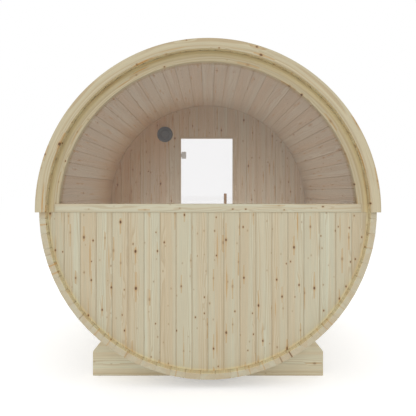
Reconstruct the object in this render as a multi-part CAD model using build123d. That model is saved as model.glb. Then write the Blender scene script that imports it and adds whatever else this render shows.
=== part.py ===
from build123d import *
import os
from math import atan2, cos, degrees, floor, radians, sin, sqrt

# Barrel sauna. Millimetres, +Z up. The origin is on the ground, under the middle of the barrel.
# The barrel's axis runs along Y: the window end faces -Y and the door end faces +Y.

# Barrel of staves
barrel_radius = 1135.0
barrel_length = 2300.0
stave_thickness = 42.0
stave_count = 68
staves_per_segment = 4
stave_joint_gap = 0.4
ground_clearance = 60.0
seat_gap = 0.3

# Round steel rods are drawn with this many sides
rod_sides = 12

# Steel hoops round the staves, each drawn tight by a bolt through its two turned-out ends
band_thickness = 1.2
band_width = 30.0
band_spacing = 600.0
band_count = 3
band_gap = 24.0
lug_thickness = 4.0
lug_depth = 26.0
lug_bolt_radius = 5.0
lug_bolt_clearance = 0.3
lug_bolt_drop = 14.0
lug_nut_radius = 8.5
lug_nut_thickness = 7.0
lug_bolt_tail = 5.0

# Roof boards over the upper half
roof_board_thickness = 16.0
roof_board_count = 34
roof_drop_below_axis = 9.0
roof_joint_gap = 0.4

# Fascia arches on both ends
fascia_thickness = 28.0
fascia_lap_inside = 9.0

# End walls
wall_thickness = 42.0
wall_recess = 50.0

# Half-round window over the lower wall of the window end
lower_wall_drop = 12.0
rail_height = 58.0
rail_proud = 6.0
rail_end_from_shell = 49.5
arch_width = 74.5
glass_thickness = 8.0
glass_rim_play = 6.5
glass_bed_height = 22.0
retainer_width = 51.5
retainer_depth = 25.0
retainer_drop = 60.0
retainer_bar_below_rail = 6.0

# Doorway and glass door of the door end
doorway_left = -305.0
doorway_right = 277.0
doorway_below_shell = 368.8
doorway_above_floor = 13.0
door_stop_width = 17.0
door_stop_depth = 20.0
door_gap = 6.0
door_seal_gap = 5.0

# Door hinges
hinge_drop_from_top = 186.0
hinge_height = 77.0
hinge_plate_width = 51.0
hinge_plate_thickness = 5.0
hinge_core_width = 24.0
hinge_core_height = 42.0
hinge_core_radius = 8.0
glass_hole_play = 1.0
pivot_past_opening = 6.0
pivot_off_wall = 14.0
knuckle_radius = 9.0
pin_radius = 5.0
pin_clearance = 0.1
knuckle_share = 0.5
knuckle_end_gap = 0.6
bracket_side_gap = 1.5
bracket_plate_width = 60.0

# Door handle
handle_from_doorway = 81.5
handle_width = 29.0
handle_depth = 26.0
handle_length = 400.0
handle_above_floor = 643.0
handle_edge_radius = 7.0
handle_standoff = 30.0
handle_standoff_radius = 8.0
handle_standoff_inset = 50.0
handle_bolt_radius = 4.0

# Vent valve in the door-end wall: a flanged tube and a coned plate that closes it
vent_from_shell = 180.2
vent_angle = 32.25
vent_flange_radius = 87.5
vent_flange_thickness = 12.0
vent_flange_slope = 5.0
vent_spigot_radius = 62.0
vent_spigot_wall = 3.0
vent_plate_gap = 3.0
vent_cone_width = 18.0
vent_cone_depth = 8.0
vent_rim_thickness = 3.0
vent_stem_radius = 5.0
vent_bar_width = 10.0
vent_bar_thickness = 4.0
vent_bar_depth = 20.0

# Floor
floor_above_shell = 151.8
floor_board_width = 104.0
floor_board_gap = 6.0
floor_board_thickness = 28.0
floor_side_gap = 6.0
floor_end_gap = 5.0
bearer_width = 60.0
bearer_count = 3
bearer_inset = 200.0

# Cradles under the barrel
cradle_half_width = 828.0
cradle_side_height = 175.0
cradle_thickness = 60.0
cradle_from_end = 228.0

# Worked out from the sizes above
axis_height = barrel_radius + ground_clearance
half_stave = 180.0 / stave_count
stave_inner_arris = barrel_radius - stave_thickness
stave_inner_flat = stave_inner_arris * cos(radians(half_stave))
stave_outer_flat = barrel_radius * cos(radians(half_stave))
wall_radius = stave_inner_flat - seat_gap
end_y = barrel_length / 2
wall_outer_y = end_y - wall_recess
wall_inner_y = wall_outer_y - wall_thickness
band_inner_flat = stave_outer_flat + seat_gap
band_outer_flat = band_inner_flat + band_thickness
band_outer_arris = band_outer_flat / cos(radians(half_stave))
roof_inner_flat = band_outer_arris + seat_gap
roof_outer_flat = roof_inner_flat + roof_board_thickness
roof_span = 180.0 + 2 * degrees(roof_drop_below_axis / roof_outer_flat)
roof_pitch = roof_span / roof_board_count
roof_radius = roof_outer_flat / cos(radians(roof_pitch / 2))
fascia_inner = stave_inner_arris - fascia_lap_inside
rail_half_width = wall_radius - rail_end_from_shell
rail_bottom = axis_height - lower_wall_drop
rail_top = rail_bottom + rail_height
floor_top = axis_height - stave_inner_flat + floor_above_shell
floor_underside = floor_top - floor_board_thickness
bearer_half_width = sqrt(wall_radius**2 - (axis_height - floor_underside) ** 2)
glass_back_y = -wall_inner_y + glass_thickness
retainer_back_y = glass_back_y + retainer_depth
door_glass_inner_y = wall_inner_y + door_stop_depth + door_seal_gap
door_glass_outer_y = door_glass_inner_y + glass_thickness
doorway_top = axis_height + stave_inner_flat - doorway_below_shell
doorway_bottom = floor_top + doorway_above_floor
rough_left = doorway_left - door_stop_width
rough_right = doorway_right + door_stop_width
rough_top = doorway_top + door_stop_width
rough_bottom = doorway_bottom - door_stop_width
pivot_x = rough_left - pivot_past_opening
pivot_y = wall_outer_y + pivot_off_wall
hinge_plate_left = doorway_left + door_gap
hinge_core_x = hinge_plate_left + hinge_plate_width / 2
handle_x = doorway_right - handle_from_doorway
handle_bottom = floor_top + handle_above_floor
vent_x = -(stave_inner_flat - vent_from_shell) * sin(radians(vent_angle))
vent_z = axis_height + (stave_inner_flat - vent_from_shell) * cos(radians(vent_angle))


def prism(sketch, y_from, y_to):
    """A solid from a sketch drawn as seen along +Y, x to the right and z up, between two Y planes."""
    plane = Plane(origin=(0, y_to, 0), x_dir=(1, 0, 0), z_dir=(0, -1, 0))
    return extrude(plane * sketch, amount=y_to - y_from)


def block(x_from, x_to, z_from, z_to):
    """A rectangle between two places across and two places up."""
    return Pos(x_from, z_from) * Rectangle(x_to - x_from, z_to - z_from, align=(Align.MIN, Align.MIN))


def disc(radius):
    """A disc in the end view about the barrel's axis."""
    return Pos(0, axis_height) * Circle(radius)


def ring(outer_radius, inner_radius):
    """A ring in the end view about the barrel's axis."""
    return disc(outer_radius) - disc(inner_radius)


def crosswise(sketch, x_from, x_to):
    """A solid from a sketch drawn as seen from +X, y to the right and z up, between two X planes."""
    plane = Plane(origin=(x_from, 0, 0), x_dir=(0, 1, 0), z_dir=(1, 0, 0))
    return extrude(plane * sketch, amount=x_to - x_from)


def rod_section(radius):
    """The section of a round rod, or of the hole that it goes through."""
    return RegularPolygon(radius, rod_sides)


def radial_board(angle, pitch, inner_flat, outer_flat, gap):
    """The section of one board of a round of boards: flat faces, edges on radial planes, less a joint gap.
    The angle is taken from straight up, positive to the right."""
    half = radians(pitch / 2)
    inner = inner_flat * sin(half) / cos(half) - gap / 2
    outer = outer_flat * sin(half) / cos(half) - gap / 2
    section = Polygon(
        (-inner, inner_flat), (inner, inner_flat), (outer, outer_flat), (-outer, outer_flat), align=None
    )
    return Pos(0, axis_height) * Rot(0, 0, -angle) * section


def shell_segment(index):
    """One segment of the round wall: a few staves side by side, each a board as long as the barrel."""
    pitch = 360.0 / stave_count
    first = index * staves_per_segment
    staves = []
    for number in range(first, min(first + staves_per_segment, stave_count)):
        section = radial_board(number * pitch, pitch, stave_inner_flat, stave_outer_flat, stave_joint_gap)
        staves.append(prism(section, -end_y, end_y))
    return Compound(children=staves)


def roof_boards(first, last):
    """Some of the lengthwise boards that cover the upper half, counted from the left eaves."""
    boards = []
    for number in range(first, last):
        angle = (number + 0.5) * roof_pitch - roof_span / 2
        section = radial_board(angle, roof_pitch, roof_inner_flat, roof_outer_flat, roof_joint_gap)
        boards.append(prism(section, -end_y, end_y))
    return Compound(children=boards)


def fascia(y_from, y_to):
    """The arch board on one end, over the ends of the staves and of the roof boards."""
    eaves = block(-roof_radius, roof_radius, axis_height - roof_drop_below_axis, axis_height + roof_radius)
    return prism(ring(roof_radius, fascia_inner) & eaves, y_from, y_to)


def hoop_outline(flat):
    """A many-sided outline about the barrel's axis, one side to each stave, at a distance from the axis."""
    rotation = 90.0 + half_stave
    return Pos(0, axis_height) * RegularPolygon(flat, stave_count, False, rotation, align=None)


def hoop(middle):
    """One hoop, bent over every stave, split under the barrel, with its two ends turned out as lugs."""
    lug_top = axis_height - band_inner_flat
    lug_bottom = axis_height - band_outer_flat - lug_depth
    section = hoop_outline(band_outer_flat) - hoop_outline(band_inner_flat)
    section -= block(-band_gap / 2, band_gap / 2, lug_bottom, lug_top + seat_gap)
    for side in (-1, 1):
        near = side * band_gap / 2
        far = near + side * lug_thickness
        section += block(min(near, far), max(near, far), lug_bottom, lug_top)
    reach = band_gap / 2 + lug_thickness
    place = Pos(middle, lug_top - lug_bolt_drop)
    hole = place * rod_section(lug_bolt_radius + lug_bolt_clearance)
    return prism(section, middle - band_width / 2, middle + band_width / 2) - crosswise(hole, -reach, reach)


def hoop_bolt(middle):
    """The bolt that draws a hoop's lugs together, with its head and nut."""
    place = Pos(middle, axis_height - band_inner_flat - lug_bolt_drop)
    head_from = band_gap / 2 + lug_thickness + seat_gap
    head_to = head_from + lug_nut_thickness
    shank = place * rod_section(lug_bolt_radius)
    hexagon = place * RegularPolygon(lug_nut_radius, 6)
    bolt = crosswise(shank, -head_from, head_to + lug_bolt_tail)
    bolt += crosswise(hexagon, -head_to, -head_from)
    return bolt + crosswise(hexagon, head_from, head_to)


def tension_bands():
    """The steel hoops round the staves, under the roof boards, with their bolts."""
    pieces = []
    for number in range(band_count):
        middle = (number - (band_count - 1) / 2) * band_spacing
        pieces += [hoop(middle), hoop_bolt(middle)]
    return Compound(children=pieces)


def cradle(y_from, y_to):
    """A beam across the barrel with a round seat, upright sides and shoulders that point at the axis."""
    seat_radius = barrel_radius + seat_gap
    shoulder = atan2(cradle_half_width, axis_height - cradle_side_height)
    lip_x = seat_radius * sin(shoulder)
    lip_z = axis_height - seat_radius * cos(shoulder)
    outline = Polygon(
        (-cradle_half_width, 0),
        (cradle_half_width, 0),
        (cradle_half_width, cradle_side_height),
        (lip_x, lip_z),
        (-lip_x, lip_z),
        (-cradle_half_width, cradle_side_height),
        align=None,
    )
    return prism(outline - disc(seat_radius), y_from, y_to)


def lower_wall():
    """The boarded lower half of the window end."""
    below = block(-wall_radius, wall_radius, axis_height - wall_radius, rail_bottom)
    return prism(disc(wall_radius) & below, -wall_outer_y, -wall_inner_y)


def sill_rail():
    """The rail on top of the lower wall, a little proud of its boards, let into the feet of the arch."""
    section = block(-rail_half_width, rail_half_width, rail_bottom, rail_top)
    return prism(section, -wall_outer_y - rail_proud, -wall_inner_y)


def window_arch():
    """The arch board round the window, flush with the lower wall, notched for the rail."""
    above = block(-wall_radius, wall_radius, rail_bottom, axis_height + wall_radius)
    notch_x = rail_half_width + seat_gap
    notch = block(-notch_x, notch_x, rail_bottom, rail_top + seat_gap)
    section = (ring(wall_radius, wall_radius - arch_width) & above) - notch
    return prism(section, -wall_outer_y, -wall_inner_y)


def pane_sketch(growth):
    """The outline of the half-round pane, grown all round by a clearance."""
    radius = wall_radius - glass_rim_play + growth
    bed = rail_bottom + glass_bed_height - growth
    return disc(radius) & block(-radius, radius, bed, axis_height + radius)


def window_glass():
    """The half-round pane behind the arch and the rail."""
    return prism(pane_sketch(0), -wall_inner_y, glass_back_y)


def window_retainer():
    """The inner arch and bar that hold the pane from behind, rebated for its rim and its bed."""
    arch = ring(wall_radius, wall_radius - retainer_width)
    arch &= block(-wall_radius, wall_radius, rail_bottom, axis_height + wall_radius)
    bar_top = rail_top - retainer_bar_below_rail
    bar = disc(wall_radius) & block(-wall_radius, wall_radius, axis_height - retainer_drop, bar_top)
    body = prism(arch + bar, -wall_inner_y, retainer_back_y)
    pocket = prism(pane_sketch(seat_gap), -wall_inner_y, glass_back_y)
    return body - pocket


def door_wall(x_from, x_to, z_from, z_to):
    """A part of the wall of the door end: the disc between two x and two z values."""
    return prism(disc(wall_radius) & block(x_from, x_to, z_from, z_to), wall_inner_y, wall_outer_y)


def door_wall_left():
    """The wall on the hinge side, with the round hole for the vent valve."""
    wall = door_wall(-wall_radius, rough_left, axis_height - wall_radius, axis_height + wall_radius)
    hole = Pos(vent_x, vent_z) * Circle(vent_spigot_radius + seat_gap)
    return wall - prism(hole, wall_inner_y, wall_outer_y)


def door_stop():
    """The frame inside the doorway that the door closes against."""
    outer = block(rough_left, rough_right, rough_bottom, rough_top)
    inner = block(doorway_left, doorway_right, doorway_bottom, doorway_top)
    return prism(outer - inner, wall_inner_y, wall_inner_y + door_stop_depth)


def hinge_heights():
    """The middle heights of the two hinges, the same distance from the doorway's top and bottom."""
    return (doorway_bottom + hinge_drop_from_top, doorway_top - hinge_drop_from_top)


def handle_bolt_heights():
    """The heights of the two distance pieces of the handle, the same distance from its ends."""
    return (handle_bottom + handle_standoff_inset, handle_bottom + handle_length - handle_standoff_inset)


def hinge_core_outline(middle, growth):
    """The outline of the block that joins a hinge's plates through the glass, grown by a clearance."""
    width = hinge_core_width + 2 * growth
    height = hinge_core_height + 2 * growth
    return Pos(hinge_core_x, middle) * RectangleRounded(width, height, hinge_core_radius + growth)


def door_glass():
    """The glass leaf, in the doorway with a gap all round, cut out for the hinges and the handle's bolts."""
    leaf = block(rough_left + door_gap, rough_right - door_gap, rough_bottom + door_gap, rough_top - door_gap)
    for middle in hinge_heights():
        leaf -= hinge_core_outline(middle, glass_hole_play)
    for height in handle_bolt_heights():
        leaf -= Pos(handle_x, height) * rod_section(handle_bolt_radius + glass_hole_play)
    return prism(leaf, door_glass_inner_y, door_glass_outer_y)


def upright(sketch, z_from, z_to):
    """A solid from a sketch seen from above, x to the right and y up, between two heights."""
    return extrude(Pos(0, 0, z_from) * sketch, amount=z_to - z_from)


def knuckle_sketch(radius):
    """A disc about the hinge axis, seen from above."""
    return Pos(pivot_x, pivot_y) * Circle(radius)


def hinge_leaf(middle):
    """One hinge's moving part: two plates joined through the glass, a cranked strap and a knuckle."""
    z_from = middle - hinge_height / 2
    z_to = middle + hinge_height / 2
    plate_to = hinge_plate_left + hinge_plate_width
    inner_y = door_glass_inner_y - hinge_plate_thickness
    outer_y = door_glass_outer_y + hinge_plate_thickness
    strap_y = pivot_y - hinge_plate_thickness / 2
    strap_end_y = pivot_y + hinge_plate_thickness / 2
    crank = Polygon(
        (plate_to, door_glass_outer_y),
        (plate_to, outer_y),
        (hinge_plate_left + hinge_plate_thickness, outer_y),
        (hinge_plate_left + hinge_plate_thickness, strap_end_y),
        (pivot_x, strap_end_y),
        (pivot_x, strap_y),
        (hinge_plate_left, strap_y),
        (hinge_plate_left, door_glass_outer_y),
        align=None,
    )
    half_knuckle = hinge_height * knuckle_share / 2
    plate = block(hinge_plate_left, plate_to, z_from, z_to)
    leaf = prism(plate, inner_y, door_glass_inner_y) + prism(plate, door_glass_outer_y, outer_y)
    leaf += prism(hinge_core_outline(middle, 0), inner_y, outer_y)
    leaf += upright(crank, middle - half_knuckle, middle + half_knuckle)
    leaf += upright(knuckle_sketch(knuckle_radius), middle - half_knuckle, middle + half_knuckle)
    return leaf - upright(knuckle_sketch(pin_radius + pin_clearance), z_from, z_to)


def hinge_bracket(middle):
    """One hinge's fixed part: a plate on the wall, two knuckles and the pin through them."""
    half_height = hinge_height / 2
    half_knuckle = hinge_height * knuckle_share / 2
    plate_to = pivot_x - knuckle_radius - bracket_side_gap
    plate = Pos(plate_to - bracket_plate_width, wall_outer_y) * Rectangle(
        bracket_plate_width, hinge_plate_thickness, align=(Align.MIN, Align.MIN)
    )
    arm_y = pivot_y - knuckle_radius
    arm = Pos(plate_to - hinge_plate_thickness, wall_outer_y) * Rectangle(
        hinge_plate_thickness, arm_y - wall_outer_y + 2 * knuckle_radius, align=(Align.MIN, Align.MIN)
    )
    reach = Pos(plate_to - hinge_plate_thickness, pivot_y - hinge_plate_thickness / 2) * Rectangle(
        pivot_x - plate_to + hinge_plate_thickness, hinge_plate_thickness, align=(Align.MIN, Align.MIN)
    )
    body = upright(plate, middle - half_height, middle + half_height)
    body += upright(arm, middle - half_height, middle + half_height)
    for side in (-1, 1):
        near = middle + side * (half_knuckle + knuckle_end_gap)
        far = middle + side * half_height
        body += upright(reach + knuckle_sketch(knuckle_radius), min(near, far), max(near, far))
    return body + upright(knuckle_sketch(pin_radius), middle - half_height, middle + half_height)


def handle_bar(y_from, y_to):
    """One upright wooden bar of the handle with its long edges rounded."""
    section = Pos(handle_x, (y_from + y_to) / 2) * RectangleRounded(
        handle_width, y_to - y_from, handle_edge_radius
    )
    return upright(section, handle_bottom, handle_bottom + handle_length)


def door_handle():
    """A wooden bar on each side of the glass."""
    inner_y = door_glass_inner_y - handle_standoff
    outer_y = door_glass_outer_y + handle_standoff
    return Compound(
        children=[
            handle_bar(inner_y - handle_depth, inner_y),
            handle_bar(outer_y, outer_y + handle_depth),
        ]
    )


def handle_standoffs():
    """The steel distance pieces between the bars and the glass, each pair joined by a bolt through it."""
    pieces = []
    for height in handle_bolt_heights():
        sleeve = Pos(handle_x, height) * Circle(handle_standoff_radius)
        bolt = Pos(handle_x, height) * rod_section(handle_bolt_radius)
        piece = prism(sleeve, door_glass_inner_y - handle_standoff, door_glass_inner_y)
        piece += prism(bolt, door_glass_inner_y, door_glass_outer_y)
        pieces.append(piece + prism(sleeve, door_glass_outer_y, door_glass_outer_y + handle_standoff))
    return Compound(children=pieces)


def turned(profile):
    """A solid turned about the vent's middle line from a profile of radius and height off the wall."""
    plane = Plane(origin=(vent_x, wall_inner_y, vent_z), x_dir=(1, 0, 0), z_dir=(0, 0, 1))
    line = Axis((vent_x, wall_inner_y, vent_z), (0, 1, 0))
    return revolve(plane * profile, line, 360)


def vent_body():
    """The flanged tube of the valve, its rim sloped, with the bar that carries the plate's stem."""
    bore = vent_spigot_radius - vent_spigot_wall
    front = -vent_flange_thickness
    profile = Polygon(
        (bore, front),
        (vent_flange_radius - vent_flange_slope, front),
        (vent_flange_radius, 0),
        (vent_spigot_radius, 0),
        (vent_spigot_radius, wall_thickness),
        (bore, wall_thickness),
        align=None,
    )
    bar = Pos(vent_x, vent_z) * Rectangle(2 * bore + vent_spigot_wall, vent_bar_width)
    bar_y = wall_inner_y + vent_bar_depth
    return turned(profile) + prism(bar, bar_y, bar_y + vent_bar_thickness)


def vent_plate():
    """The plate that closes the valve: a flat middle, a coned rim that falls back, and a stem behind it."""
    rim = vent_spigot_radius - vent_spigot_wall - vent_plate_gap
    front = -vent_flange_thickness
    back = front + vent_cone_depth + vent_rim_thickness
    stem_end = vent_bar_depth + vent_bar_thickness
    profile = Polygon(
        (0, front),
        (rim - vent_cone_width, front),
        (rim, front + vent_cone_depth),
        (rim, back),
        (0, back),
        align=None,
    )
    stem = Pos(vent_x, vent_z) * rod_section(vent_stem_radius)
    return turned(profile) + prism(stem, wall_inner_y + back, wall_inner_y + stem_end)


def vent_valve():
    """The round valve: its flanged tube, and the coned plate that closes it."""
    return vent_body() + vent_plate()


def floor_boards():
    """Lengthwise floor boards with gaps, between the two end walls."""
    y_from = retainer_back_y + floor_end_gap
    y_to = wall_inner_y - floor_end_gap
    pitch = floor_board_width + floor_board_gap
    count = floor((2 * (bearer_half_width - floor_side_gap) + floor_board_gap) / pitch)
    boards = []
    for number in range(count):
        x_from = (number - count / 2) * pitch + floor_board_gap / 2
        section = block(x_from, x_from + floor_board_width, floor_underside, floor_top)
        boards.append(prism(section, y_from, y_to))
    return Compound(children=boards)


def floor_bearers():
    """Cross bearers under the floor boards, round below to lie in the barrel."""
    lowest = axis_height - wall_radius
    section = disc(wall_radius) & block(-bearer_half_width, bearer_half_width, lowest, floor_underside)
    first = -wall_inner_y + bearer_inset
    step = 2 * (wall_inner_y - bearer_inset) / (bearer_count - 1)
    bearers = []
    for number in range(bearer_count):
        middle = first + number * step
        bearers.append(prism(section, middle - bearer_width / 2, middle + bearer_width / 2))
    return Compound(children=bearers)


def build():
    """Every piece of the sauna, by the name of its node."""
    parts = {}
    segment_count = -(-stave_count // staves_per_segment)
    for index in range(segment_count):
        parts[f"shell_segment_{index + 1:02d}"] = shell_segment(index)
    quarter = roof_board_count // 4
    middle = roof_board_count // 2
    parts["roof_left_lower"] = roof_boards(0, middle - quarter)
    parts["roof_left_upper"] = roof_boards(middle - quarter, middle)
    parts["roof_right_upper"] = roof_boards(middle, middle + quarter)
    parts["roof_right_lower"] = roof_boards(middle + quarter, roof_board_count)
    parts["fascia_window_end"] = fascia(-end_y - fascia_thickness, -end_y)
    parts["fascia_door_end"] = fascia(end_y, end_y + fascia_thickness)
    parts["tension_bands"] = tension_bands()
    cradle_face = end_y - cradle_from_end
    parts["cradle_window_end"] = cradle(-cradle_face, -cradle_face + cradle_thickness)
    parts["cradle_door_end"] = cradle(cradle_face - cradle_thickness, cradle_face)
    parts["lower_wall"] = lower_wall()
    parts["sill_rail"] = sill_rail()
    parts["window_arch"] = window_arch()
    parts["window_glass"] = window_glass()
    parts["window_retainer"] = window_retainer()
    wall_low = axis_height - wall_radius
    wall_high = axis_height + wall_radius
    parts["door_wall_left"] = door_wall_left()
    parts["door_wall_right"] = door_wall(rough_right, wall_radius, wall_low, wall_high)
    parts["door_wall_over"] = door_wall(rough_left, rough_right, rough_top, wall_high)
    parts["door_wall_under"] = door_wall(rough_left, rough_right, wall_low, rough_bottom)
    parts["door_stop_frame"] = door_stop()
    parts["door_glass"] = door_glass()
    lower, upper = hinge_heights()
    parts["door_hinge_leaves"] = Compound(children=[hinge_leaf(lower), hinge_leaf(upper)])
    parts["door_hinge_brackets"] = Compound(children=[hinge_bracket(lower), hinge_bracket(upper)])
    parts["door_handle"] = door_handle()
    parts["door_handle_standoffs"] = handle_standoffs()
    parts["vent_valve"] = vent_valve()
    parts["floor_boards"] = floor_boards()
    parts["floor_bearers"] = floor_bearers()
    return parts


os.makedirs("parts", exist_ok=True)
for node, shape in build().items():
    export_step(shape, f"parts/{node}.step")
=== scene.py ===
"""The looks of a barrel sauna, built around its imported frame.

All sizes are metres in the frame's axes. Y runs along the barrel, the window end faces -Y, the door end
faces +Y, and the origin is on the ground under the middle of the barrel.
"""

import logging
import math
from dataclasses import dataclass, fields
from enum import Enum

import bmesh
import bpy
import numpy as np
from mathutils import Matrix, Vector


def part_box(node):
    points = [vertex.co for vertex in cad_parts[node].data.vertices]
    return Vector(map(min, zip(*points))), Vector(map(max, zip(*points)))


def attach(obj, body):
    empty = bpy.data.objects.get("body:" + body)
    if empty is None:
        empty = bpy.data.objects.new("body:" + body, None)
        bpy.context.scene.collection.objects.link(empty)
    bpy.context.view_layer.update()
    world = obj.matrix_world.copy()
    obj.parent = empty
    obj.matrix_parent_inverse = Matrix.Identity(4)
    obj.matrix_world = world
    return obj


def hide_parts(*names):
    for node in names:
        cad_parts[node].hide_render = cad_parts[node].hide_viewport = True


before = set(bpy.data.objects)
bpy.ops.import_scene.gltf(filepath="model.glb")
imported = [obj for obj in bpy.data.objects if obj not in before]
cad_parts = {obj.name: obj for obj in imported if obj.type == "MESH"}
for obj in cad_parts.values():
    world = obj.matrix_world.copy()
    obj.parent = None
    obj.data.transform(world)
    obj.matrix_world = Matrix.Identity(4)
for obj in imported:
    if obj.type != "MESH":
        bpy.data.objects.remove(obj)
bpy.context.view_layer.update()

LOG = logging.getLogger("barrel_sauna")
CABIN_BODY = "cabin"
DOOR_BODY = "door"
GRAIN = "grain"
SEED = "seed"
TONE = "tone"
PITH_REACH = ((-0.06, 0.06), (0, 3), (0.02, 0.13))


class Finish(Enum):
    """The record's material slots that the pieces take their finish from."""

    STAVE = "stave_spruce"
    WALL = "wall_spruce"
    FASCIA = "fascia_spruce"
    FRAME = "frame_spruce"
    ROOF = "roof_spruce"
    CRADLE = "cradle_spruce"
    FLOOR = "floor_spruce"
    HANDLE = "handle_wood"
    WINDOW_GLASS = "window_glass"
    DOOR_GLASS = "door_glass"
    HINGE = "hinge_steel"
    BAND = "band_steel"
    VENT = "vent_grey"


def srgb(red: int, green: int, blue: int) -> tuple[float, float, float, float]:
    """A linear colour from display values of 0 to 255.

    Args:
        red: Display red.
        green: Display green.
        blue: Display blue.

    Returns:
        The colour as linear values with an alpha of 1.
    """
    shown = np.array([red, green, blue], float) / 255
    linear = np.where(shown <= 0.04045, shown / 12.92, ((shown + 0.055) / 1.055) ** 2.4)
    return (float(linear[0]), float(linear[1]), float(linear[2]), 1.0)


class Graph:
    """A short way to write the nodes of one node tree."""

    def __init__(self, tree: bpy.types.NodeTree) -> None:
        """Keeps the tree that the nodes go into."""
        self.tree = tree

    def node(self, kind: str, **settings: object) -> bpy.types.Node:
        """Adds a node and sets its properties.

        Args:
            kind: The node's class name.
            settings: Properties of the node by name.

        Returns:
            The new node.
        """
        made = self.tree.nodes.new(kind)
        for name, value in settings.items():
            setattr(made, name, value)
        return made

    def put(self, socket: bpy.types.NodeSocket, value: object) -> None:
        """Links an output to an input, or sets the input's own value.

        Args:
            socket: The input.
            value: An output socket, a number or a tuple.
        """
        if isinstance(value, bpy.types.NodeSocket):
            self.tree.links.new(value, socket)
        else:
            socket.default_value = value

    def math(self, operation: str, first: object, second: object = 0.0, clamp: bool = False) -> object:
        """One arithmetic step.

        Args:
            operation: The Math node's operation.
            first: A socket or a number.
            second: A socket or a number.
            clamp: Whether the result is kept between 0 and 1.

        Returns:
            The result's socket.
        """
        made = self.node("ShaderNodeMath", operation=operation, use_clamp=clamp)
        self.put(made.inputs[0], first)
        self.put(made.inputs[1], second)
        return made.outputs[0]

    def scaled(self, value: object, factor: float, start: float = 0.0) -> object:
        """A value times a factor plus a start.

        Args:
            value: The value's socket.
            factor: What it is multiplied by.
            start: What is added.

        Returns:
            The result's socket.
        """
        made = self.node("ShaderNodeMath", operation="MULTIPLY_ADD")
        self.put(made.inputs[0], value)
        self.put(made.inputs[1], factor)
        self.put(made.inputs[2], start)
        return made.outputs[0]

    def product(self, first: object, *others: object) -> object:
        """The product of two or more values."""
        for other in others:
            first = self.math("MULTIPLY", first, other)
        return first

    def place(self) -> object:
        """A point's place on its object, which is its place in the frame too."""
        return self.node("ShaderNodeTexCoord").outputs["Object"]

    def split(self, vector: object) -> list:
        """The x, y and z of a vector."""
        made = self.node("ShaderNodeSeparateXYZ")
        self.put(made.inputs[0], vector)
        return list(made.outputs)

    def use(self, tree: bpy.types.NodeTree, inputs: dict[str, object]) -> bpy.types.Node:
        """Adds a node group.

        Args:
            tree: The group.
            inputs: A value or a socket by the input's name.

        Returns:
            The group's node.
        """
        made = self.node("ShaderNodeGroup", node_tree=tree)
        for label, value in inputs.items():
            self.put(made.inputs[label], value)
        return made

    def centred(self, value: object, width: float) -> object:
        """A value from 0 to 1 stretched to a width and put about 0."""
        return self.scaled(value, width, -width / 2)

    def vector(self, operation: str, first: object, second: object) -> object:
        """One vector step.

        Args:
            operation: The Vector Math node's operation.
            first: A socket or three numbers.
            second: A socket or three numbers, or a number for SCALE.

        Returns:
            The result's socket: a number for LENGTH, else a vector.
        """
        made = self.node("ShaderNodeVectorMath", operation=operation)
        self.put(made.inputs[0], first)
        self.put(made.inputs["Scale"] if operation == "SCALE" else made.inputs[1], second)
        return made.outputs["Value"] if operation == "LENGTH" else made.outputs["Vector"]

    def noise(self, where: object, scale: float = 1.0, detail: float = 2.0, rough: float = 0.5) -> object:
        """Smooth noise from about 0 to 1.

        Args:
            where: The vector to read.
            scale: Figure in each metre of the vector.
            detail: Octaves.
            rough: How strong the finer octaves are.

        Returns:
            The noise value's socket.
        """
        made = self.node("ShaderNodeTexNoise", noise_dimensions="3D")
        self.put(made.inputs["Vector"], where)
        self.put(made.inputs["Scale"], scale)
        self.put(made.inputs["Detail"], detail)
        self.put(made.inputs["Roughness"], rough)
        return made.outputs["Fac"]

    def stretched(self, where: object, cells: tuple, detail: float = 2.0, rough: float = 0.5) -> object:
        """Smooth noise with its own number of cells in each metre of x, y and z."""
        return self.noise(self.vector("MULTIPLY", where, cells), 1.0, detail, rough)

    def step(self, value: object, low: object, high: object) -> object:
        """A smooth step from 0 at low to 1 at high.

        Args:
            value: The value to read.
            low: Where the step starts.
            high: Where it ends; a high under low turns the step round.

        Returns:
            The step's socket.
        """
        made = self.node("ShaderNodeMapRange", interpolation_type="SMOOTHSTEP", clamp=True)
        self.put(made.inputs["Value"], value)
        self.put(made.inputs["From Min"], low)
        self.put(made.inputs["From Max"], high)
        return made.outputs["Result"]

    def blend(self, share: object, first: object, second: object, kind: str = "MIX") -> object:
        """Mixes two colours.

        Args:
            share: How much of the second colour shows.
            first: A colour or its socket.
            second: A colour or its socket.
            kind: The blend type.

        Returns:
            The mixed colour's socket.
        """
        made = self.node("ShaderNodeMix", data_type="RGBA", blend_type=kind)
        self.put(made.inputs[0], share)
        self.put(made.inputs[6], first)
        self.put(made.inputs[7], second)
        return made.outputs[2]


def group(name: str, inputs: dict[str, tuple[str, object]], outputs: dict[str, str]) -> tuple:
    """Starts a node group with named sockets.

    Args:
        name: The group's name.
        inputs: Socket type and default value by name.
        outputs: Socket type by name.

    Returns:
        The group, its graph, its input node and its output node.
    """
    tree = bpy.data.node_groups.new(name, "ShaderNodeTree")
    for label, (kind, value) in inputs.items():
        socket = tree.interface.new_socket(name=label, in_out="INPUT", socket_type=kind)
        if value is not None:
            socket.default_value = value
    for label, kind in outputs.items():
        tree.interface.new_socket(name=label, in_out="OUTPUT", socket_type=kind)
    graph = Graph(tree)
    return tree, graph, graph.node("NodeGroupInput"), graph.node("NodeGroupOutput")


FLOAT = "NodeSocketFloat"
COLOUR = "NodeSocketColor"
VECTOR = "NodeSocketVector"
WOOD_COLOURS = ("Pale", "Tan", "Latewood", "Knot", "Resin")
WOOD_AMOUNTS = ("Ring width", "Ring depth", "Knot share", "Resin share", "Zones", "Streaks")
# The painted light and shade colours that a timber is multiplied by.
PAINTED_LIGHT_COLOURS = ("Heated", "Corner", "Cooler", "Aged", "Seam")


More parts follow.
